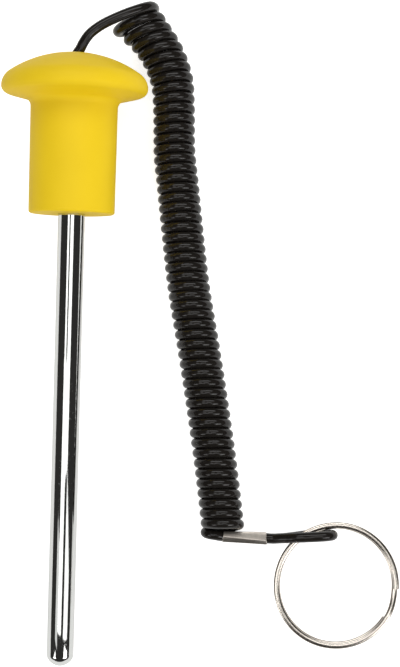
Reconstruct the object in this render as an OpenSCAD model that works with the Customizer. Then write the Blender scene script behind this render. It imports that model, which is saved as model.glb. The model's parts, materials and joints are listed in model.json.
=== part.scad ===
// Selector pin for a weight stack: a moulded mushroom knob on a plated steel
// shank, with a coiled safety cord that ends in a crimped loop and a split ring.
// Millimetres, +Z up. The pin lies on the plane z = 0, on its knob's rim and
// its nose, with the knob towards +Y. x = 0 is the pin's own middle plane.

/* [Knob] */
// Diameter of the knob across its rim
rim_d = 52; // [46:0.5:58]
// Height of the knob from its shoulder to the top of the dome
knob_h = 57; // [54:0.5:62]
// Radius of the domed top
dome_r = 41; // [36:0.5:50]
// Rounding of the rim above its widest line
rim_round_top = 6; // [4:0.5:8]
// Rounding of the rim below its widest line
rim_round_under = 2.6; // [1.5:0.1:4]
// Slope of the flange's underside, in degrees
flange_slope = 14.5; // [8:0.5:20]
// Diameter of the grip just under the flange
grip_d = 30.9; // [27:0.1:34]
// Diameter of the grip at its shoulder
shoulder_d = 30.5; // [27:0.1:34]
// Fillet between the grip and the flange
grip_fillet = 3; // [1:0.5:5]
// Rounding of the shoulder's edge
shoulder_round = 0.8; // [0.3:0.1:2]

/* [Shank] */
// Diameter of the shank
shank_d = 9.5; // [8:0.1:12.7]
// Length of the shank that stands out of the knob
shank_free = 160; // [140:1:180]
// Height of the shank's domed nose
nose_h = 3.3; // [2:0.1:4]
// Length of the shank that is moulded into the knob
shank_in = 36; // [30:0.5:38]
// Height of the step where the moulded-in end is turned down below the shank
key_step = 0.25; // [0.1:0.05:0.5]
// Width of one keying groove
groove_w = 2.5; // [1.5:0.1:3]
// Depth of one keying groove
groove_deep = 0.7; // [0.3:0.1:1.2]
// Number of keying grooves
groove_count = 4; // [2:1:5]
// Distance from one keying groove to the next
groove_pitch = 6; // [5:0.5:7]

/* [Cord] */
// Diameter of the cord
cord_d = 3.4; // [3:0.1:3.6]
// Outside diameter of the coiled stretch
coil_d = 15; // [13:0.5:16]

/* [Cord stop] */
// Outside diameter of the sleeve crimped on the cord's end inside the knob
stop_d = 6.2; // [5:0.1:8]
// Length of that sleeve
stop_len = 8; // [5:0.5:10]
// Plastic between the shank's end and the sleeve
stop_floor = 3; // [1:0.5:4]

/* [Ferrule] */
// Length of the ferrule that closes the cord's end loop
ferrule_len = 15.5; // [12:0.5:16]
// Width of the ferrule across the cord
ferrule_w = 4.4; // [4.2:0.1:5]
// Height of the ferrule at its corners, above its own middle
ferrule_corner = 3.35; // [3.3:0.05:3.6]
// Height of the ferrule at its crease, above its own middle
ferrule_crease = 4.15; // [4.1:0.05:4.5]
// Distance of the crease from the middle of the ferrule's width
crease_off = 0.8; // [0:0.1:1.2]

/* [Split ring] */
// Outside diameter of the split ring
ring_d = 45; // [40:0.5:46]
// Width of the ring's wire, measured along the ring's radius
wire_w = 2.2; // [1.6:0.1:2.4]
// Thickness of the ring's wire
wire_t = 1.3; // [1:0.1:1.5]
// Rounding of the wire's edges
wire_round = 0.5; // [0.2:0.05:0.6]
// How much further out the upper turn lies than the lower turn
turn_shift = 0.3; // [0:0.05:0.4]
// Gap between the ring's two turns
turn_gap = 0.06; // [0.03:0.01:0.2]
// Angle over which the wire steps from one turn to the other
step_angle = 28; // [20:1:40]
// Gap between each wire end and the step beside it, in degrees
end_gap = 1; // [0.5:0.5:3]

/* [Fits] */
// Shrink gap round the parts moulded into the knob
mould_gap = 0.02; // [0.01:0.01:0.05]
// Gap between the cord and a hole that it runs through
cord_gap = 0.05; // [0.02:0.01:0.1]
// Gap between the two strands inside the ferrule
strand_gap = 0.1; // [0.05:0.05:0.2]
// Gap between the ring and the surface it lies on
floor_gap = 0.02; // [0.01:0.01:0.1]

/* [Hidden] */

rim_r = rim_d / 2;
shank_r = shank_d / 2;
key_r = shank_r - key_step;
cord_r = cord_d / 2;
coil_r = coil_d / 2;
stop_r = stop_d / 2;
hole_r = cord_r + cord_gap;

// The knob's section, as [distance from the axis, height above the shoulder].
rim_dx = rim_r - rim_round_top;
rim_dy = sqrt(pow(dome_r - rim_round_top, 2) - pow(rim_dx, 2));
rim_h = knob_h - dome_r + rim_dy;
rim_join = atan2(rim_dy, rim_dx);
under_x = rim_r - rim_round_under * (1 - sin(flange_slope));
under_h = rim_h - rim_round_under * cos(flange_slope);
fillet_x = grip_d / 2 + grip_fillet;
fillet_h = under_h + ((fillet_x - under_x) * sin(flange_slope) - grip_fillet) / cos(flange_slope);
shoulder_x = shoulder_d / 2 - shoulder_round;

// Where the parts inside the knob begin and end, above the shoulder.
stop_low = shank_in + stop_floor;
stop_high = stop_low + stop_len;
groove_low = (shank_in - (groove_count - 1) * groove_pitch - groove_w) / 2;

// The shank's nose is part of a ball.
nose_r = (shank_r * shank_r + nose_h * nose_h) / (2 * nose_h);
nose_rim = atan2(nose_h - nose_r, shank_r);

// The pin leans so that its rim and the edge of its nose touch z = 0.
rest_run = rim_h + shank_free - nose_h;
rest_drop = rim_r - rim_round_under - shank_r;
lean = atan2(rest_drop, rest_run) + asin(rim_round_under / norm([rest_run, rest_drop]));
shoulder_z = shank_r * cos(lean) + (shank_free - nose_h) * sin(lean);
pin_back = (knob_h - dome_r) * cos(lean) + dome_r;
pin_front = -(shank_free - nose_r) * cos(lean) - nose_r;
shoulder_y = -(pin_back + pin_front) / 2;

// The ferrule's middle line: its left end, and its heading in the plane.
ferrule_at = [56.7, -60.5, ferrule_crease];
ferrule_turn = -3.5;
ferrule_dir = [cos(ferrule_turn), sin(ferrule_turn), 0];
strand_up = [0, 0, (cord_d + strand_gap) / 2];
cut_back = 0.5;

// The middle line of the coiled stretch. It comes down from the knob's end to
// the surface, and its last half turn leads into the tail.
lift = 0.05;
coil_z = coil_r + lift;
coil_route = [
    [20, 123.5, 17.5],
    [24, 119.3, 16.2],
    [28, 114.8, 14.8],
    [31.5, 109.2, 13.2],
    [34, 102.5, 11.6],
    [35, 93, 9.6],
    [35.3, 85, 8.4],
    [35.6, 77, coil_z],
    [37, 66, coil_z],
    [39.2, 48.5, coil_z],
    [42.2, 27, coil_z],
    [46, 7, coil_z],
    [50.3, -17, coil_z],
    [53.4, -36, coil_z],
    [56.2, -56, coil_z]
];

// Where the plain cord meets the coil's two end faces.
up = [0, 0, 1];
coil_in = unit(coil_route[1] - coil_route[0]);
coil_top = unit(up - (up * coil_in) * coil_in);
lead_end = coil_route[0] + (coil_r - cord_r - 0.3) * coil_top;
coil_last = coil_route[len(coil_route) - 1];
coil_out = unit(coil_last - coil_route[len(coil_route) - 2]);
tail_start = coil_last + (coil_r - cord_r - 0.5) * cross(coil_out, up);

// The plain stretch from the sleeve inside the knob to the coil.
lead_route = [
    pin_point(stop_low),
    pin_point(knob_h),
    [0.5, 110, 27.5],
    [2.2, 113.3, 27.8],
    [5.8, 117.2, 28],
    [10.6, 120.5, 27.9],
    [15, 123.2, 26.6],
    lead_end - 3 * coil_in,
    lead_end
];

// The plain stretch from the coil through the ferrule, round the end loop and
// back into the ferrule.
tail_route = [
    tail_start,
    tail_start + 1.5 * coil_out,
    [51.9, -59.5, 7.4],
    [53.3, -60.3, 7],
    [55, -60.5, 6.3],
    ferrule_at + strand_up,
    ferrule_at + ferrule_len * ferrule_dir + strand_up,
    [74.4, -61.4, 6.2],
    [77, -61.2, 7.1],
    [80, -61, 8.4],
    [83, -60.8, 9.4],
    [86, -60.6, 10],
    [89, -60.3, 10.1],
    [92, -60, 9.4],
    [94.4, -59.7, 8],
    [95.7, -59.5, 6],
    [95.2, -59.3, 3.9],
    [93.3, -59.2, 2.3],
    [90.6, -59.3, 1.75],
    [86, -60, 1.75],
    [81, -60.9, 1.75],
    [77, -61.3, 1.8],
    [74.4, -61.5, 2.1],
    ferrule_at + ferrule_len * ferrule_dir - strand_up,
    ferrule_at + cut_back * ferrule_dir - strand_up
];

// The ring swings about its own wire where that runs through the cord's loop.
swing_at = [84.5, -60.6, 5.3];
swing_turn = 127.7;
ring_r = ring_d / 2 - wire_w / 2 - turn_shift / 2;
turn_rise = (wire_t + turn_gap) / 2;
half_w = (wire_w + turn_shift) / 2 - wire_round;
half_t = turn_rise + wire_t / 2 - wire_round;
first_tilt = asin((swing_at[2] - half_t - wire_round - floor_gap) / (2 * ring_r));
foot = half_w * sin(first_tilt) + half_t * cos(first_tilt) + wire_round + floor_gap;
ring_tilt = asin((swing_at[2] - foot) / (2 * ring_r));
step_end = -3;
ring_step = 5;

function unit(v) = v / norm(v);

// A point on the pin's axis, at a height above the knob's shoulder.
function pin_point(h) = [0, shoulder_y + h * cos(lean), shoulder_z + h * sin(lean)];

// An arc in a section, in n steps from angle a to angle b.
function arc(c, r, a, b, n) =
    [for (i = [0:n]) let (t = a + (b - a) * i / n) [c[0] + r * cos(t), c[1] + r * sin(t)]];

// The keyed end of the shank, grown by a gap, from a height upwards.
function keyed_end(gap, from) = concat(
    [[key_r + gap, from]],
    [for (i = [0:groove_count - 1])
        let (low = groove_low + i * groove_pitch)
        for (p = [[key_r, low + gap], [key_r - groove_deep, low + gap],
                  [key_r - groove_deep, low + groove_w - gap], [key_r, low + groove_w - gap]])
            [p[0] + gap, p[1]]],
    [[key_r + gap, shank_in + gap], [0, shank_in + gap]]
);

// The direction of a route at one of its points, and the side direction that
// goes along it without twisting.
function heading(p, i) =
    i == 0 ? unit(p[1] - p[0]) :
    i == len(p) - 1 ? unit(p[i] - p[i - 1]) :
    unit(unit(p[i + 1] - p[i]) + unit(p[i] - p[i - 1]));
function sides_of(p, side, i = 0) =
    let (t = heading(p, i), s = unit(side - (side * t) * t))
    i == len(p) - 1 ? [s] : concat([s], sides_of(p, s, i + 1));

// A round bar with flat ends that follows a route.
module bar(route, r, sides, side) {
    n = len(route);
    s = sides_of(route, side);
    points = [for (i = [0:n - 1])
        let (v = cross(heading(route, i), s[i]))
        for (k = [0:sides - 1])
            route[i] + r * (cos(360 * k / sides) * s[i] + sin(360 * k / sides) * v)];
    skin(points, n, sides);
}

// The closed skin over n rings of the same number of points.
module skin(points, n, sides) {
    walls = [for (i = [0:n - 2], k = [0:sides - 1])
        let (m = (k + 1) % sides)
        [i * sides + k, (i + 1) * sides + k, (i + 1) * sides + m, i * sides + m]];
    first = [for (k = [0:sides - 1]) k];
    last = [for (k = [sides - 1:-1:0]) (n - 1) * sides + k];
    polyhedron(points = points, faces = concat(walls, [first, last]), convexity = 8);
}

// Puts a part that is drawn along +Z, with z = 0 at the shoulder, on the pin's axis.
module on_pin() {
    translate([0, shoulder_y, shoulder_z]) rotate([lean - 90, 0, 0]) children();
}

// The moulded knob: a domed flange on a straight grip, with the hollows that
// the keyed shank, the cord and its sleeve leave in it.
module knob() {
    outside = concat(
        arc([shoulder_x, shoulder_round], shoulder_round, -90, 0, 5),
        arc([fillet_x, fillet_h], grip_fillet, 180, 90 + flange_slope, 8),
        arc([rim_r - rim_round_under, rim_h], rim_round_under, flange_slope - 90, 0, 6),
        arc([rim_dx, rim_h], rim_round_top, 0, rim_join, 10),
        arc([0, knob_h - dome_r], dome_r, rim_join, acos(hole_r / dome_r), 14)
    );
    sleeve_hollow = [
        [hole_r, stop_high + mould_gap],
        [stop_r + mould_gap, stop_high + mould_gap],
        [stop_r + mould_gap, stop_low - mould_gap],
        [0, stop_low - mould_gap]
    ];
    shank_hollow = keyed_end(mould_gap, 0);
    backwards = [for (i = [len(shank_hollow) - 1:-1:0]) shank_hollow[i]];
    color("#EBCB22") on_pin() rotate_extrude($fn = 96)
        polygon(concat(outside, sleeve_hollow, backwards));
}

// The plated shank: a plain round bar with a domed nose. The end that the knob
// is moulded on is turned down to a step and grooved.
module shank() {
    nose = arc([0, nose_r - shank_free], nose_r, -90, nose_rim, 10);
    color("#C9CCD0") on_pin() rotate_extrude($fn = 96)
        polygon(concat(nose, [[shank_r, -mould_gap]], keyed_end(0, -mould_gap)));
}

// The sleeve crimped on the cord's end, which keeps it from pulling out.
module cord_stop() {
    color("#B8B4AA") on_pin() translate([0, 0, stop_low]) difference() {
        cylinder(r = stop_r, h = stop_len, $fn = 48);
        translate([0, 0, -1]) cylinder(r = hole_r, h = stop_len + 2, $fn = 48);
    }
}

module cord_lead() {
    color("#1C1A17") bar(lead_route, cord_r, 8, [1, 0, 0]);
}

module cord_coil() {
    color("#1C1A17") bar(coil_route, coil_r, 12, up);
}

module cord_tail() {
    color("#1C1A17") bar(tail_route, cord_r, 8, up);
}

// The pressed ferrule: a thin sleeve round the loop's two strands, with a
// crease along its top and its underside.
module ferrule() {
    half = ferrule_w / 2;
    slot_r = hole_r;
    corners = [
        [half, -ferrule_corner + crease_off], [half, ferrule_corner],
        [-crease_off, ferrule_crease], [-half, ferrule_corner - crease_off / 2],
        [-half, -ferrule_corner], [crease_off, -ferrule_crease]
    ];
    color("#A39C93") translate(ferrule_at) rotate([0, 0, ferrule_turn]) rotate([90, 0, 90])
        linear_extrude(ferrule_len) difference() {
            polygon(corners);
            for (s = [-1, 1]) translate([0, s * strand_up[2]]) circle(r = slot_r, $fn = 32);
            square([2 * slot_r, 2 * strand_up[2]], center = true);
        }
}

// The split ring: one flat wire wound twice round, stepping from the upper
// turn down to the lower one between its two ends.
module split_ring() {
    first = step_end + end_gap;
    final = first - 2 * end_gap - step_angle + 720;
    step_from = step_end + 360 - step_angle;
    count = ceil((final - first) / ring_step);
    corner = [for (q = [0:3], t = [0, 45, 90]) let (a = 90 * q + t)
        [sign(cos(90 * q + 45)) * (wire_w / 2 - wire_round) + wire_round * cos(a),
         sign(sin(90 * q + 45)) * (wire_t / 2 - wire_round) + wire_round * sin(a)]];
    points = [for (i = [0:count])
        let (
            a = first + (final - first) * i / count,
            x = min(1, max(0, (a - step_from) / step_angle)),
            down = x * x * (3 - 2 * x),
            z = turn_rise * (1 - 2 * down),
            r = ring_r + turn_shift / 2 * (1 - 2 * down)
        )
        for (c = corner) [(r + c[0]) * cos(a), (r + c[0]) * sin(a), z + c[1]]];
    hinge = [-sin(swing_turn), cos(swing_turn), 0];
    color("#CFC8BC") translate(swing_at) rotate(a = -ring_tilt, v = hinge)
        translate(-ring_r * [cos(swing_turn), sin(swing_turn), 0])
            skin(points, count + 1, len(corner));
}

knob();
shank();
cord_stop();
cord_lead();
cord_coil();
cord_tail();
ferrule();
split_ring();
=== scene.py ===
import json
import math

import bpy
from mathutils import Matrix, Vector


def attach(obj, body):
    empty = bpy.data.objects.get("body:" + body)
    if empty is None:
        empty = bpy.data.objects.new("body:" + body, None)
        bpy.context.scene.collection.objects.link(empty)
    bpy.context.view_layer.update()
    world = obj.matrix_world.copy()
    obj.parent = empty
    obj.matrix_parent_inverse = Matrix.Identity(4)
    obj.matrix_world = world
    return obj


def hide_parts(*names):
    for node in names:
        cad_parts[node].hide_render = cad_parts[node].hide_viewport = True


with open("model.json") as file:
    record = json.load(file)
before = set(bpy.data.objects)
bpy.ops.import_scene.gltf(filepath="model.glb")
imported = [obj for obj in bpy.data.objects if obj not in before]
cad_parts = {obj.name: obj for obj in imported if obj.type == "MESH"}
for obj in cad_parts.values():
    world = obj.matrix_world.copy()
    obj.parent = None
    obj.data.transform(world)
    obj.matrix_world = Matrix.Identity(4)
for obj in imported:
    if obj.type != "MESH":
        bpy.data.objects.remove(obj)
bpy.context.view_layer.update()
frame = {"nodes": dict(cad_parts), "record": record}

# ------------------------------------------------------------------ camera
# A long lens looks down on the pin as it lies, almost square to the surface,
# from a little way past its nose.
bpy.ops.object.camera_add(location=(0.04657, -0.05611, 0.65071))
camera = bpy.context.object
camera.data.lens = 97.15
camera.rotation_mode = "ZYX"
camera.rotation_euler = (math.radians(5.97), 0, math.radians(1.494))
bpy.context.scene.camera = camera

# ------------------------------------------------------------------ pin's axis
# Everything on the pin is measured from the knob's shoulder, where the shank
# comes out: upwards into the knob, downwards to the nose.
mounts = {mount["name"]: mount for mount in frame["record"]["mounts"]}
shank_mount = mounts["selector_shank"]
nose_way = Vector(shank_mount["axis"]).normalized()
shank_wall = shank_mount["dims"]["length_mm"] / 1000
shoulder = Vector(shank_mount["pos_m"]) - nose_way * shank_wall / 2
side_way = Vector((1, 0, 0))


def on_pin(out, height):
    """The point this far out from the pin's axis, towards +X, and this high above the shoulder."""
    return shoulder + side_way * out - nose_way * height


# ------------------------------------------------------------------ cord
# The safety cord is one length of solid black plastic, 3.7 mm thick. It was
# wound on a bar and heat-set, so its middle springs back into a coil. One end
# is crimped inside the knob, the other is folded into a loop round the ring.
cord_width = 0.00366
knob_height = 0.057
sleeve_floor = 0.039
route_step = 0.0005

coil_route = [
    (0.0200, 0.1235, 0.0175),
    (0.0240, 0.1193, 0.0162),
    (0.0280, 0.1148, 0.0148),
    (0.0315, 0.1092, 0.0132),
    (0.0340, 0.1025, 0.0116),
    (0.0350, 0.0930, 0.0096),
    (0.0353, 0.0850, 0.0084),
    (0.0356, 0.0770, 0.0078),
    (0.0370, 0.0660, 0.0078),
    (0.0392, 0.0485, 0.0078),
    (0.0422, 0.0270, 0.0078),
    (0.0460, 0.0070, 0.0078),
    (0.0503, -0.0170, 0.0078),
    (0.0534, -0.0360, 0.0078),
    (0.0562, -0.0560, 0.0078),
    (0.0567, -0.0600, 0.0078),
]
lead_route = [
    tuple(on_pin(0, sleeve_floor)),
    tuple(on_pin(0, 0.050)),
    tuple(on_pin(0.0006, knob_height)),
    (0.0014, 0.1090, 0.0272),
    (0.0026, 0.1114, 0.0276),
    (0.0046, 0.1144, 0.0279),
    (0.0072, 0.1167, 0.0281),
    (0.0099, 0.1185, 0.0282),
    (0.0131, 0.1202, 0.0282),
    (0.0170, 0.1221, 0.0280),
    (0.0210, 0.1239, 0.0273),
    (0.0237, 0.1252, 0.0261),
    (0.0258, 0.1263, 0.0240),
    (0.0269, 0.1269, 0.0209),
]
tail_route = [
    (0.0546, -0.0586, 0.0019),
    (0.0532, -0.0590, 0.0019),
    (0.0518, -0.0593, 0.0022),
    (0.0508, -0.0596, 0.0032),
    (0.0504, -0.0598, 0.0046),
    (0.0508, -0.0601, 0.0060),
    (0.0519, -0.0604, 0.0070),
    (0.0533, -0.0606, 0.0074),
    (0.0548, -0.0608, 0.0071),
    (0.0563, -0.0610, 0.0064),
    (0.0578, -0.0611, 0.0060),
    (0.0595, -0.0611, 0.0059),
    (0.0720, -0.0613, 0.0059),
    (0.0744, -0.0614, 0.0062),
    (0.0770, -0.0612, 0.0071),
    (0.0800, -0.0610, 0.0084),
    (0.0830, -0.0608, 0.0095),
    (0.0860, -0.0606, 0.0101),
    (0.0890, -0.0604, 0.0103),
    (0.0915, -0.0602, 0.0102),
    (0.0936, -0.0600, 0.0096),
    (0.0951, -0.0598, 0.0081),
    (0.0957, -0.0596, 0.0060),
    (0.0951, -0.0594, 0.0039),
    (0.0936, -0.0593, 0.0024),
    (0.0915, -0.0593, 0.00185),
    (0.0890, -0.0595, 0.00185),
    (0.0860, -0.0600, 0.00185),
    (0.0810, -0.0608, 0.00185),
    (0.0770, -0.0613, 0.0019),
    (0.0744, -0.0614, 0.0022),
    (0.0720, -0.0614, 0.0023),
    (0.0572, -0.0611, 0.0023),
]


def smooth_route(points, step):
    """Points about a step apart on the smooth curve through these points."""
    places = [Vector(point) for point in points]
    gaps = [(b - a).length for a, b in zip(places, places[1:])]
    slopes = [(places[1] - places[0]) / gaps[0]]
    for i in range(1, len(places) - 1):
        before = (places[i] - places[i - 1]) / gaps[i - 1]
        after = (places[i + 1] - places[i]) / gaps[i]
        slopes.append((before * gaps[i] + after * gaps[i - 1]) / (gaps[i] + gaps[i - 1]))
    slopes.append((places[-1] - places[-2]) / gaps[-1])
    line = []
    for i, gap in enumerate(gaps):
        count = max(1, round(gap / step))
        for j in range(count):
            t = j / count
            line.append(
                places[i] * (2 * t**3 - 3 * t**2 + 1)
                + slopes[i] * gap * (t**3 - 2 * t**2 + t)
                + places[i + 1] * (3 * t**2 - 2 * t**3)
                + slopes[i + 1] * gap * (t**3 - t**2)
            )
    return line + [places[-1]]


def at_distance(line, distance):
    """The point at a distance along a line of points."""
    for a, b in zip(line, line[1:]):
        step = (b - a).length
        if distance <= step:
            return a.lerp(b, distance / step)
        distance -= step
    return line[-1]


def between(marks, x):
    """The value at x on the straight lines between these (x, value) marks."""
    for (x0, y0), (x1, y1) in zip(marks, marks[1:]):
        if x <= x1:
            return y0 + (y1 - y0) * (x - x0) / (x1 - x0)
    return marks[-1][1]


# The turns lie against each other, a little unevenly. The lead pulls the first
# few apart, wider and further over, which fades along the coil. Each turn
# starts at its left end and goes over the top.
turn_count = 52
last_part = 0.25
turn_pitch = 0.003564
steps_per_turn = 36
turn_radius = 0.0059
opened_out = 0.0022
opening_fades = 0.010
pulled_apart = 0.0024
pull_fades = 4
coil_length = 0.187
end_lean = 7.3
lean_lost = 3
pulled_over = 18
lean_fades = 0.022
# How far along a turn lies from its even place, at these turns.
unevenness = [
    (-0.5, 0),
    (0, -0.0005),
    (0.3, -0.0001),
    (0.5, 0.0001),
    (1, 0.0006),
    (1.3, -0.0002),
    (1.5, 0),
    (2, 0.0008),
    (2.3, -0.0003),
    (2.5, 0),
    (3, 0.0006),
    (3.3, -0.0003),
    (3.5, 0),
    (4, 0.0004),
    (4.3, -0.0001),
    (4.5, 0.0001),
    (5, 0.0003),
    (5.3, -0.0001),
    (6, -0.0001),
    (9, 0),
    (13, 0.0003),
    (18, 0.0005),
    (20, 0.0004),
    (22.5, 0.0008),
    (27, 0.0008),
    (30, 0.0003),
    (34, 0.0004),
    (38, 0.0003),
    (42, 0.0004),
    (46, 0.0006),
    (50, 0.0006),
    (52, 0.0005),
]
up = Vector((0, 0, 1))
coil_axis = smooth_route(coil_route, 2 * route_step)
coil = []
for i in range(-steps_per_turn // 2, round((turn_count - last_part) * steps_per_turn)):
    turn = i / steps_per_turn
    along = turn_pitch * (turn + 0.5) + pulled_apart * (1 - math.exp(-(turn + 0.5) / pull_fades))
    along += between(unevenness, turn)
    middle = at_distance(coil_axis, along)
    radius = turn_radius + opened_out * math.exp(-along / opening_fades)
    lean = end_lean + lean_lost * (1 - along / coil_length)
    lean = math.radians(lean + pulled_over * math.exp(-along / lean_fades))
    right = Vector((math.cos(lean), math.sin(lean), 0))
    angle = math.pi - 2 * math.pi * turn
    coil.append(middle + radius * (math.cos(angle) * right + math.sin(angle) * up))

run = smooth_route(lead_route + [tuple(coil[0])], route_step)[:-1] + coil
run += smooth_route([tuple(coil[-1])] + tail_route, route_step)[1:]
curve = bpy.data.curves.new("safety_cord", "CURVE")
curve.dimensions = "3D"
curve.bevel_depth = cord_width / 2
curve.bevel_resolution = 6
curve.fill_mode = "FULL"
curve.use_fill_caps = True
spline = curve.splines.new("POLY")
spline.points.add(len(run) - 1)
for point, place in zip(spline.points, run):
    point.co = (*place, 1)
cord = bpy.data.objects.new("safety_cord", curve)
bpy.context.collection.objects.link(cord)


def colour(code):
    """An sRGB hex colour as linear RGBA."""
    parts = [int(code[i : i + 2], 16) / 255 for i in (1, 3, 5)]
    return (*[p / 12.92 if p <= 0.04045 else ((p + 0.055) / 1.055) ** 2.4 for p in parts], 1)


def add_node(tree, kind, inputs=None, **options):
    """Adds a node with its options, and its inputs as values or as links from outputs."""
    made = tree.nodes.new(kind)
    for name, value in options.items():
        setattr(made, name, value)
    for name, value in (inputs or {}).items():
        if isinstance(value, bpy.types.NodeSocket):
            tree.links.new(value, made.inputs[name])
        else:
            made.inputs[name].default_value = value
    return made


def new_material(name):
    """A material with only its output, and its node tree."""
    made = bpy.data.materials.new(name)
    made.use_nodes = True
    made.node_tree.nodes.clear()
    return made, made.node_tree


def finish_material(tree, shader):
    """Joins the shader to a material's output."""
    output = tree.nodes.new("ShaderNodeOutputMaterial")
    tree.links.new(shader.outputs[0], output.inputs["Surface"])


# Extruded black PVC: glossy, with the slow ripple that heat-setting leaves,
# which breaks the highlights up, and a fine haze of handling.
black_pvc, tree = new_material("black_pvc_extruded")
place = add_node(tree, "ShaderNodeTexCoord").outputs["Object"]
ripple = add_node(tree, "ShaderNodeTexNoise", {"Vector": place, "Scale": 1 / 0.0030, "Detail": 1.0})
haze = add_node(tree, "ShaderNodeTexNoise", {"Vector": place, "Scale": 1 / 0.0012, "Detail": 3.0})
bump = add_node(
    tree, "ShaderNodeBump", {"Height": ripple.outputs[0], "Distance": 0.00015, "Strength": 0.6}
)
gloss = add_node(
    tree, "ShaderNodeMapRange", {"Value": haze.outputs[0], "To Min": 0.06, "To Max": 0.16}
)
tint = add_node(
    tree,
    "ShaderNodeMix",
    {"Factor": haze.outputs[0], 6: colour("#151311"), 7: colour("#211E1B")},
    data_type="RGBA",
)
finish_material(
    tree,
    add_node(
        tree,
        "ShaderNodeBsdfPrincipled",
        {
            "Base Color": tint.outputs[2],
            "Roughness": gloss.outputs[0],
            "Normal": bump.outputs[0],
            "IOR": 1.53,
            "Specular IOR Level": 0.28,
        },
    ),
)
cord.data.materials.append(black_pvc)
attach(cord, "pin")
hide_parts("cord_lead", "cord_coil", "cord_tail")

# ------------------------------------------------------------------ knob
# The knob is moulded in soft yellow vinyl straight onto the shank's keyed end:
# a domed flange to pull on, and a straight grip below it.
rim_radius = 0.026
dome_radius = 0.041
rim_round_top = 0.006
rim_round_under = 0.0026
flange_slope = 14.5
grip_radius = 0.01545
shoulder_radius = 0.01525
grip_fillet = 0.003
shoulder_round = 0.0008
shank_radius = 0.00475
socket_depth = 0.012
socket_edge = 0.0003
cord_hole = cord_width / 2 + 0.00005
hole_depth = 0.008
hole_edge = 0.0004
dome_end = 87.2
round_sides = 128


def arc(centre, radius, start, end, count):
    """Points of an arc in a section, from one angle in degrees to another."""
    angles = [math.radians(start + (end - start) * i / count) for i in range(count + 1)]
    return [(centre[0] + radius * math.cos(a), centre[1] + radius * math.sin(a)) for a in angles]


def start_vertex(name, place):
    """A new mesh object at the origin, in edit mode, with one vertex at a place."""
    bpy.ops.object.select_all(action="DESELECT")
    bpy.ops.mesh.primitive_plane_add(size=0.001, location=(0, 0, 0))
    made = bpy.context.object
    made.name = made.data.name = name
    bpy.ops.object.mode_set(mode="EDIT")
    bpy.ops.mesh.select_all(action="SELECT")
    bpy.ops.mesh.merge(type="CENTER")
    bpy.ops.transform.translate(value=place)
    return made


def turned(name, section, segments):
    """A solid spun round the pin's axis from a section of (distance out, height) points."""
    places = [on_pin(*point) for point in section]
    made = start_vertex(name, places[0])
    for a, b in zip(places, places[1:]):
        bpy.ops.mesh.extrude_region_move(TRANSFORM_OT_translate={"value": b - a})
    bpy.ops.mesh.select_all(action="SELECT")
    bpy.ops.mesh.spin(
        steps=segments, angle=2 * math.pi, center=shoulder, axis=nose_way, use_auto_merge=True
    )
    bpy.ops.mesh.select_all(action="SELECT")
    bpy.ops.mesh.remove_doubles(threshold=0.00001)
    bpy.ops.mesh.normals_make_consistent(inside=False)
    bpy.ops.object.mode_set(mode="OBJECT")
    bpy.ops.object.shade_smooth_by_angle(angle=math.radians(30))
    return made


rim_x = rim_radius - rim_round_top
rim_y = math.sqrt((dome_radius - rim_round_top) ** 2 - rim_x**2)
rim_height = knob_height - dome_radius + rim_y
rim_join = math.degrees(math.atan2(rim_y, rim_x))
slope = math.radians(flange_slope)
under_x = rim_radius - rim_round_under * (1 - math.sin(slope))
under_height = rim_height - rim_round_under * math.cos(slope)
fillet_x = grip_radius + grip_fillet
fillet_height = under_height + ((fillet_x - under_x) * math.sin(slope) - grip_fillet) / math.cos(slope)
knob_section = (
    [(shank_radius, socket_depth), (shank_radius, socket_edge), (shank_radius + socket_edge, 0)]
    + arc((shoulder_radius - shoulder_round, shoulder_round), shoulder_round, -90, 0, 6)
    + arc((fillet_x, fillet_height), grip_fillet, 180, 90 + flange_slope, 10)
    + arc((rim_radius - rim_round_under, rim_height), rim_round_under, flange_slope - 90, 0, 10)
    + arc((rim_x, rim_height), rim_round_top, 0, rim_join, 12)[1:]
    + arc((0, knob_height - dome_radius), dome_radius, rim_join, dome_end, 22)[1:]
    + [(cord_hole, knob_height - hole_edge), (cord_hole, knob_height - hole_depth)]
)
knob = turned("vinyl_knob", knob_section, round_sides)

# Moulded vinyl: satin, with a fine orange-peel skin and the faint clouding of
# its pigment, which is a little deeper where the flow slowed down.
yellow_vinyl, tree = new_material("yellow_vinyl_moulded")
place = add_node(tree, "ShaderNodeTexCoord").outputs["Object"]
cloud = add_node(tree, "ShaderNodeTexNoise", {"Vector": place, "Scale": 1 / 0.012, "Detail": 3.0})
skin = add_node(tree, "ShaderNodeTexNoise", {"Vector": place, "Scale": 1 / 0.0007, "Detail": 2.0})
tint = add_node(
    tree,
    "ShaderNodeMix",
    {"Factor": cloud.outputs[0], 6: colour("#E4C010"), 7: colour("#EAC716")},
    data_type="RGBA",
)
satin = add_node(
    tree, "ShaderNodeMapRange", {"Value": skin.outputs[0], "To Min": 0.50, "To Max": 0.62}
)
bump = add_node(
    tree, "ShaderNodeBump", {"Height": skin.outputs[0], "Distance": 0.00002, "Strength": 0.6}
)
finish_material(
    tree,
    add_node(
        tree,
        "ShaderNodeBsdfPrincipled",
        {
            "Base Color": tint.outputs[2],
            "Roughness": satin.outputs[0],
            "Normal": bump.outputs[0],
            "IOR": 1.48,
            "Specular IOR Level": 0.25,
        },
    ),
)
knob.data.materials.append(yellow_vinyl)
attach(knob, "pin")
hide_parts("knob")

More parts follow.
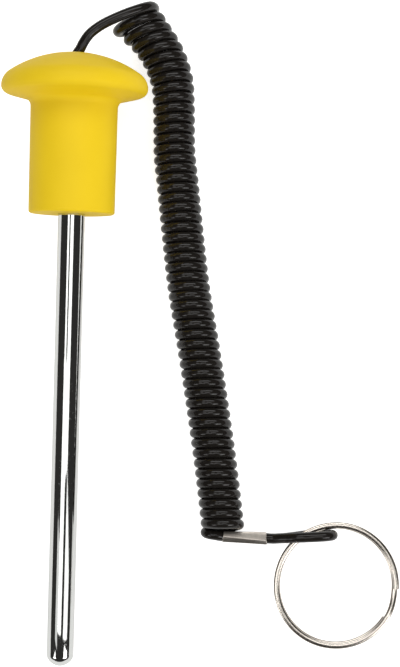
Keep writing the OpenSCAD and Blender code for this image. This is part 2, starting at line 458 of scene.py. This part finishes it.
# ------------------------------------------------------------------ shank
# The shank is cold-drawn steel bar, 9.5 mm thick, turned to a domed nose,
# ground, and plated with bright chromium. Its top is keyed into the knob.
shank_free = 0.160
nose_height = 0.0033
nose_radius = (shank_radius**2 + nose_height**2) / (2 * nose_height)
nose_rim = math.degrees(math.atan2(nose_height - nose_radius, shank_radius))
nose_break = 3.5
nose_edge = 0.0004
wall_rings = 12
shank_end = 0.010
shank_section = (
    arc((0, nose_radius - shank_free), nose_radius, -90, nose_rim - nose_break, 16)
    + [(shank_radius, nose_height - shank_free + nose_edge)]
    + [(shank_radius, -shank_wall * part / wall_rings) for part in range(wall_rings - 1, 0, -1)]
    + [(shank_radius, shank_end), (0, shank_end)]
)
shank = turned("chromed_shank", shank_section, round_sides)

# Bright chromium on ground steel: a cool mirror, drawn out along the bar by
# grinding lines, with a few dull pinpricks in the plating. Both are drawn
# coarser than the real ones, so that they show.
chromium, tree = new_material("bright_chromium_plating")
place = add_node(tree, "ShaderNodeTexCoord").outputs["Object"]
bar_lean = math.atan2(nose_way.z, -nose_way.y)
lengthwise = add_node(
    tree,
    "ShaderNodeMapping",
    {"Vector": place, "Rotation": (bar_lean, 0, 0), "Scale": (1 / 0.0004, 1 / 0.030, 1 / 0.0004)},
)
lines = add_node(
    tree, "ShaderNodeTexNoise", {"Vector": lengthwise.outputs[0], "Scale": 1.0, "Detail": 3.0}
)
pricks = add_node(tree, "ShaderNodeTexNoise", {"Vector": place, "Scale": 1 / 0.0006, "Detail": 2.0})
polish = add_node(
    tree,
    "ShaderNodeMapRange",
    {"Value": pricks.outputs[0], "From Min": 0.62, "From Max": 0.75, "To Min": 0.045, "To Max": 0.22},
)
bump = add_node(
    tree, "ShaderNodeBump", {"Height": lines.outputs[0], "Distance": 0.000006, "Strength": 0.5}
)
finish_material(
    tree,
    add_node(
        tree,
        "ShaderNodeBsdfPrincipled",
        {
            "Base Color": colour("#D6D7D5"),
            "Metallic": 1.0,
            "Roughness": polish.outputs[0],
            "Normal": bump.outputs[0],
        },
    ),
)
shank.data.materials.append(chromium)
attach(shank, "pin")
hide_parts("shank")

# ------------------------------------------------------------------ ferrule
# A short aluminium sleeve, pressed flat round the two strands of the loop. The
# press leaves a crease along its top and its underside, and slightly skewed ends.
ferrule_start = Vector((0.0566, -0.0611, 0.00415))
ferrule_length = 0.0155
ferrule_turn = math.radians(-0.9)
ferrule_wall = 0.0004
ferrule_skew = 0.08
# The six corners of each end's section, in tenths of a millimetre.
ferrule_ends = {
    -1: [(19, 38.5), (1, 41.5), (-19, 35), (-19, -33.5), (-1, -41.5), (19, -26)],
    1: [(22, 36.5), (-9.5, 41.5), (-22, 36.5), (-22, -33.5), (9.5, -41.5), (22, -25.5)],
}
bpy.ops.object.select_all(action="DESELECT")
bpy.ops.mesh.primitive_cylinder_add(
    vertices=6,
    radius=0.003,
    depth=ferrule_length,
    end_fill_type="NOTHING",
    rotation=(0, math.pi / 2, 0),
)
ferrule = bpy.context.object
ferrule.name = ferrule.data.name = "cord_ferrule"
bpy.ops.object.transform_apply(location=True, rotation=True, scale=True)
for vertex in ferrule.data.vertices:
    end = -1 if vertex.co.x < 0 else 1
    corner = round(math.degrees(math.atan2(vertex.co.z, vertex.co.y)) / 60) % 6
    y, z = [distance / 10000 for distance in ferrule_ends[end][corner]]
    vertex.co = (ferrule_length * (1 + end) / 2 - end * ferrule_skew * y, y, z)
ferrule.data.transform(Matrix.Translation(ferrule_start) @ Matrix.Rotation(ferrule_turn, 4, "Z"))
bpy.ops.object.mode_set(mode="EDIT")
bpy.ops.mesh.select_all(action="SELECT")
bpy.ops.mesh.normals_make_consistent(inside=False)
bpy.ops.object.mode_set(mode="OBJECT")
solidify = ferrule.modifiers.new("wall", "SOLIDIFY")
solidify.thickness = ferrule_wall
solidify.offset = -1
solidify.use_even_offset = True
bpy.ops.object.modifier_apply(modifier="wall")
bevel = ferrule.modifiers.new("pressed_edges", "BEVEL")
bevel.width = 0.00055
bevel.segments = 3
bevel.limit_method = "ANGLE"
bevel.angle_limit = math.radians(20)
bpy.ops.object.modifier_apply(modifier="pressed_edges")
bpy.ops.object.shade_smooth_by_angle(angle=math.radians(35))

# Plain aluminium tube: soft grey-brown, rolled smooth and then rubbed by the
# press, so it is streaked along its length and mottled where it was squeezed.
# The streaks are drawn coarser than the real ones, so that they show.
aluminium, tree = new_material("aluminium_pressed")
place = add_node(tree, "ShaderNodeTexCoord").outputs["Object"]
streaks = add_node(
    tree, "ShaderNodeMapping", {"Vector": place, "Scale": (1 / 0.006, 1 / 0.0003, 1 / 0.0003)}
)
rubbed = add_node(
    tree, "ShaderNodeTexNoise", {"Vector": streaks.outputs[0], "Scale": 1.0, "Detail": 3.0}
)
mottle = add_node(tree, "ShaderNodeTexNoise", {"Vector": place, "Scale": 1 / 0.0011, "Detail": 4.0})
tint = add_node(
    tree,
    "ShaderNodeMix",
    {"Factor": mottle.outputs[0], 6: colour("#B6AEA4"), 7: colour("#D8D1C8")},
    data_type="RGBA",
)
satin = add_node(
    tree, "ShaderNodeMapRange", {"Value": rubbed.outputs[0], "To Min": 0.25, "To Max": 0.35}
)
bump = add_node(
    tree, "ShaderNodeBump", {"Height": mottle.outputs[0], "Distance": 0.00002, "Strength": 0.6}
)
finish_material(
    tree,
    add_node(
        tree,
        "ShaderNodeBsdfPrincipled",
        {
            "Base Color": tint.outputs[2],
            "Metallic": 1.0,
            "Roughness": satin.outputs[0],
            "Normal": bump.outputs[0],
        },
    ),
)
ferrule.data.materials.append(aluminium)
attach(ferrule, "pin")
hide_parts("ferrule")

# The sleeve crimped on the cord's end inside the knob is the same aluminium.
cord_stop = frame["nodes"]["cord_stop"]
cord_stop.data.materials.clear()
cord_stop.data.materials.append(aluminium)

# ------------------------------------------------------------------ ring
# The split ring is one flat spring-steel wire, wound twice round. The wire
# steps from the upper turn down to the lower one between its two cut ends.
ring_mount = mounts["tether_ring"]
ring_middle = Vector(ring_mount["pos_m"])
ring_up = Vector(ring_mount["axis"]).normalized()
ring_radius = 0.02125
wire_width = 0.0022
wire_thick = 0.0013
wire_dome = 2.05
wire_sides = 40
turn_shift = 0.0003
turn_gap = 0.00006
turn_rise = (wire_thick + turn_gap) / 2
step_angle = 28
step_end = -3
end_gap = 1
ring_start = step_end + end_gap
ring_final = ring_start - 2 * end_gap - step_angle + 720
ring_path = []
for i in range(0, 2 * (ring_final - ring_start) + 1):
    degrees = ring_start + i / 2
    share = min(1, max(0, (degrees - (step_end + 360 - step_angle)) / step_angle))
    down = share * share * (3 - 2 * share)
    radius = ring_radius + turn_shift / 2 * (1 - 2 * down)
    turn = math.radians(degrees)
    ring_path.append((radius * math.cos(turn), radius * math.sin(turn), turn_rise * (1 - 2 * down)))

section = bpy.data.curves.new("ring_wire_section", "CURVE")
section.dimensions = "2D"
outline = section.splines.new("POLY")
corners = []
for i in range(wire_sides):
    turn = math.radians(360 * i / wire_sides)
    across = math.copysign(abs(math.cos(turn)) ** (2 / wire_dome), math.cos(turn))
    through = math.copysign(abs(math.sin(turn)) ** (2 / wire_dome), math.sin(turn))
    corners.append((across * wire_width / 2, through * wire_thick / 2))
outline.points.add(len(corners) - 1)
for point, (x, y) in zip(outline.points, corners):
    point.co = (x, y, 0, 1)
outline.use_cyclic_u = True
section_object = bpy.data.objects.new("ring_wire_section", section)
bpy.context.collection.objects.link(section_object)

wire = bpy.data.curves.new("split_ring_wire", "CURVE")
wire.dimensions = "3D"
wire.twist_mode = "Z_UP"
wire.bevel_mode = "OBJECT"
wire.bevel_object = section_object
wire.use_fill_caps = True
spline = wire.splines.new("POLY")
spline.points.add(len(ring_path) - 1)
for point, place in zip(spline.points, ring_path):
    point.co = (*place, 1)
ring = bpy.data.objects.new("split_ring_wire", wire)
bpy.context.collection.objects.link(ring)
ring.matrix_world = (
    Matrix.Translation(ring_middle) @ up.rotation_difference(ring_up).to_matrix().to_4x4()
)
bpy.ops.object.select_all(action="DESELECT")
ring.select_set(True)
bpy.context.view_layer.objects.active = ring
bpy.ops.object.convert(target="MESH")
bpy.ops.object.transform_apply(location=True, rotation=True, scale=True)
bpy.ops.object.mode_set(mode="EDIT")
bpy.ops.mesh.select_all(action="SELECT")
bpy.ops.mesh.remove_doubles(threshold=0.000005)
bpy.ops.mesh.normals_make_consistent(inside=False)
bpy.ops.object.mode_set(mode="OBJECT")
bpy.ops.object.shade_smooth_by_angle(angle=math.radians(40))
ring = bpy.context.object
bpy.data.objects.remove(section_object)

# Polished nickel on spring steel: a warm mirror with small dents and rubs.
nickel, tree = new_material("nickel_plating_polished")
place = add_node(tree, "ShaderNodeTexCoord").outputs["Object"]
dents = add_node(tree, "ShaderNodeTexNoise", {"Vector": place, "Scale": 1 / 0.0025, "Detail": 2.0})
rubs = add_node(tree, "ShaderNodeTexNoise", {"Vector": place, "Scale": 1 / 0.0006, "Detail": 3.0})
polish = add_node(
    tree, "ShaderNodeMapRange", {"Value": rubs.outputs[0], "To Min": 0.14, "To Max": 0.27}
)
bump = add_node(
    tree, "ShaderNodeBump", {"Height": dents.outputs[0], "Distance": 0.00004, "Strength": 0.5}
)
finish_material(
    tree,
    add_node(
        tree,
        "ShaderNodeBsdfPrincipled",
        {
            "Base Color": colour("#E2DAD0"),
            "Metallic": 1.0,
            "Roughness": polish.outputs[0],
            "Normal": bump.outputs[0],
        },
    ),
)
ring.data.materials.append(nickel)
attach(ring, "ring")
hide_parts("split_ring")

# ------------------------------------------------------------------ studio
# A plain pale surface under soft boxes. The surface shows white, in the metal
# too, and keeps the object's shadow.
bpy.ops.object.select_all(action="DESELECT")
bpy.ops.mesh.primitive_plane_add(size=6, location=(0, 0, 0))
floor = bpy.context.object
floor.name = "floor"
paper, tree = new_material("white_paper")
ray = add_node(tree, "ShaderNodeLightPath")
pale = add_node(tree, "ShaderNodeBsdfDiffuse", {"Color": (0.84, 0.84, 0.83, 1)})
in_metal = add_node(
    tree, "ShaderNodeMath", {0: ray.outputs["Is Glossy Ray"], 1: 0.12}, operation="MULTIPLY"
)
lift = add_node(
    tree,
    "ShaderNodeMath",
    {0: ray.outputs["Is Camera Ray"], 1: 0.7, 2: in_metal.outputs[0]},
    operation="MULTIPLY_ADD",
)
glow = add_node(tree, "ShaderNodeEmission", {"Color": (1, 1, 1, 1), "Strength": lift.outputs[0]})
finish_material(tree, add_node(tree, "ShaderNodeAddShader", {0: pale.outputs[0], 1: glow.outputs[0]}))
floor.data.materials.append(paper)


def soft_box(name, middle, size, turn, strength, aimed=False):
    """A flat lamp with this brightness: it looks straight down, turned in its own plane, or is
    aimed at the object as a fill that only softens shade and leaves no reflection."""
    lamp = bpy.data.lights.new(name, "AREA")
    lamp.shape = "RECTANGLE"
    lamp.size, lamp.size_y = size
    lamp.energy = strength * math.pi * size[0] * size[1]
    holder = bpy.data.objects.new(name, lamp)
    holder.location = middle
    holder.rotation_euler = (0, 0, math.radians(turn))
    holder.visible_camera = False
    if aimed:
        holder.rotation_euler = Vector(middle).to_track_quat("Z", "Y").to_euler()
        holder.visible_glossy = False
    bpy.context.collection.objects.link(holder)


# The overhead, middle and low boxes give the bands on the shank and the lights
# on the coil. The others light the object evenly from the front and behind.
lamp_height = 0.9
soft_box("overhead_left", (-0.28, 0.02, lamp_height), (0.24, 0.26), 0, 1.9)
soft_box("overhead_right", (0.215, -0.03, lamp_height), (0.43, 0.36), 0, 1.8)
soft_box("front_middle", (-0.165, -0.26, lamp_height), (0.53, 0.30), 0, 1.8)
soft_box("front_left", (-1.10, -0.95, lamp_height), (0.90, 0.50), 18, 3.5)
soft_box("front_right", (1.30, -0.95, lamp_height), (1.30, 0.50), -15, 5.2)
soft_box("low_right", (1.064, -0.441, lamp_height), (1.30, 0.24), -10, 1.6)
soft_box("low_left", (-0.67, -0.40, lamp_height), (0.46, 0.24), 0, 0.9)
soft_box("behind", (0.10, 0.80, lamp_height), (1.20, 0.60), 0, 2.8)
soft_box("fill_front", (0.10, -1.50, 0.40), (1.20, 0.60), 0, 2.0, aimed=True)
soft_box("fill_right", (1.50, 0.10, 0.40), (1.20, 0.60), 0, 1.7, aimed=True)

# The room gives an even light, is dark where metal mirrors it, and shows white.
world = bpy.data.worlds.new("studio")
bpy.context.scene.world = world
world.use_nodes = True
tree = world.node_tree
tree.nodes.clear()
ray = add_node(tree, "ShaderNodeLightPath")
room = add_node(
    tree,
    "ShaderNodeMix",
    {"Factor": ray.outputs["Is Glossy Ray"], 6: (0.36, 0.36, 0.36, 1), 7: (0.035, 0.034, 0.033, 1)},
    data_type="RGBA",
)
seen = add_node(
    tree,
    "ShaderNodeMix",
    {"Factor": ray.outputs["Is Camera Ray"], 6: room.outputs[2], 7: (1, 1, 1, 1)},
    data_type="RGBA",
)
back = add_node(tree, "ShaderNodeBackground", {"Color": seen.outputs[2], "Strength": 1.0})
output = tree.nodes.new("ShaderNodeOutputWorld")
tree.links.new(back.outputs[0], output.inputs["Surface"])

bpy.context.scene.view_settings.view_transform = "Standard"
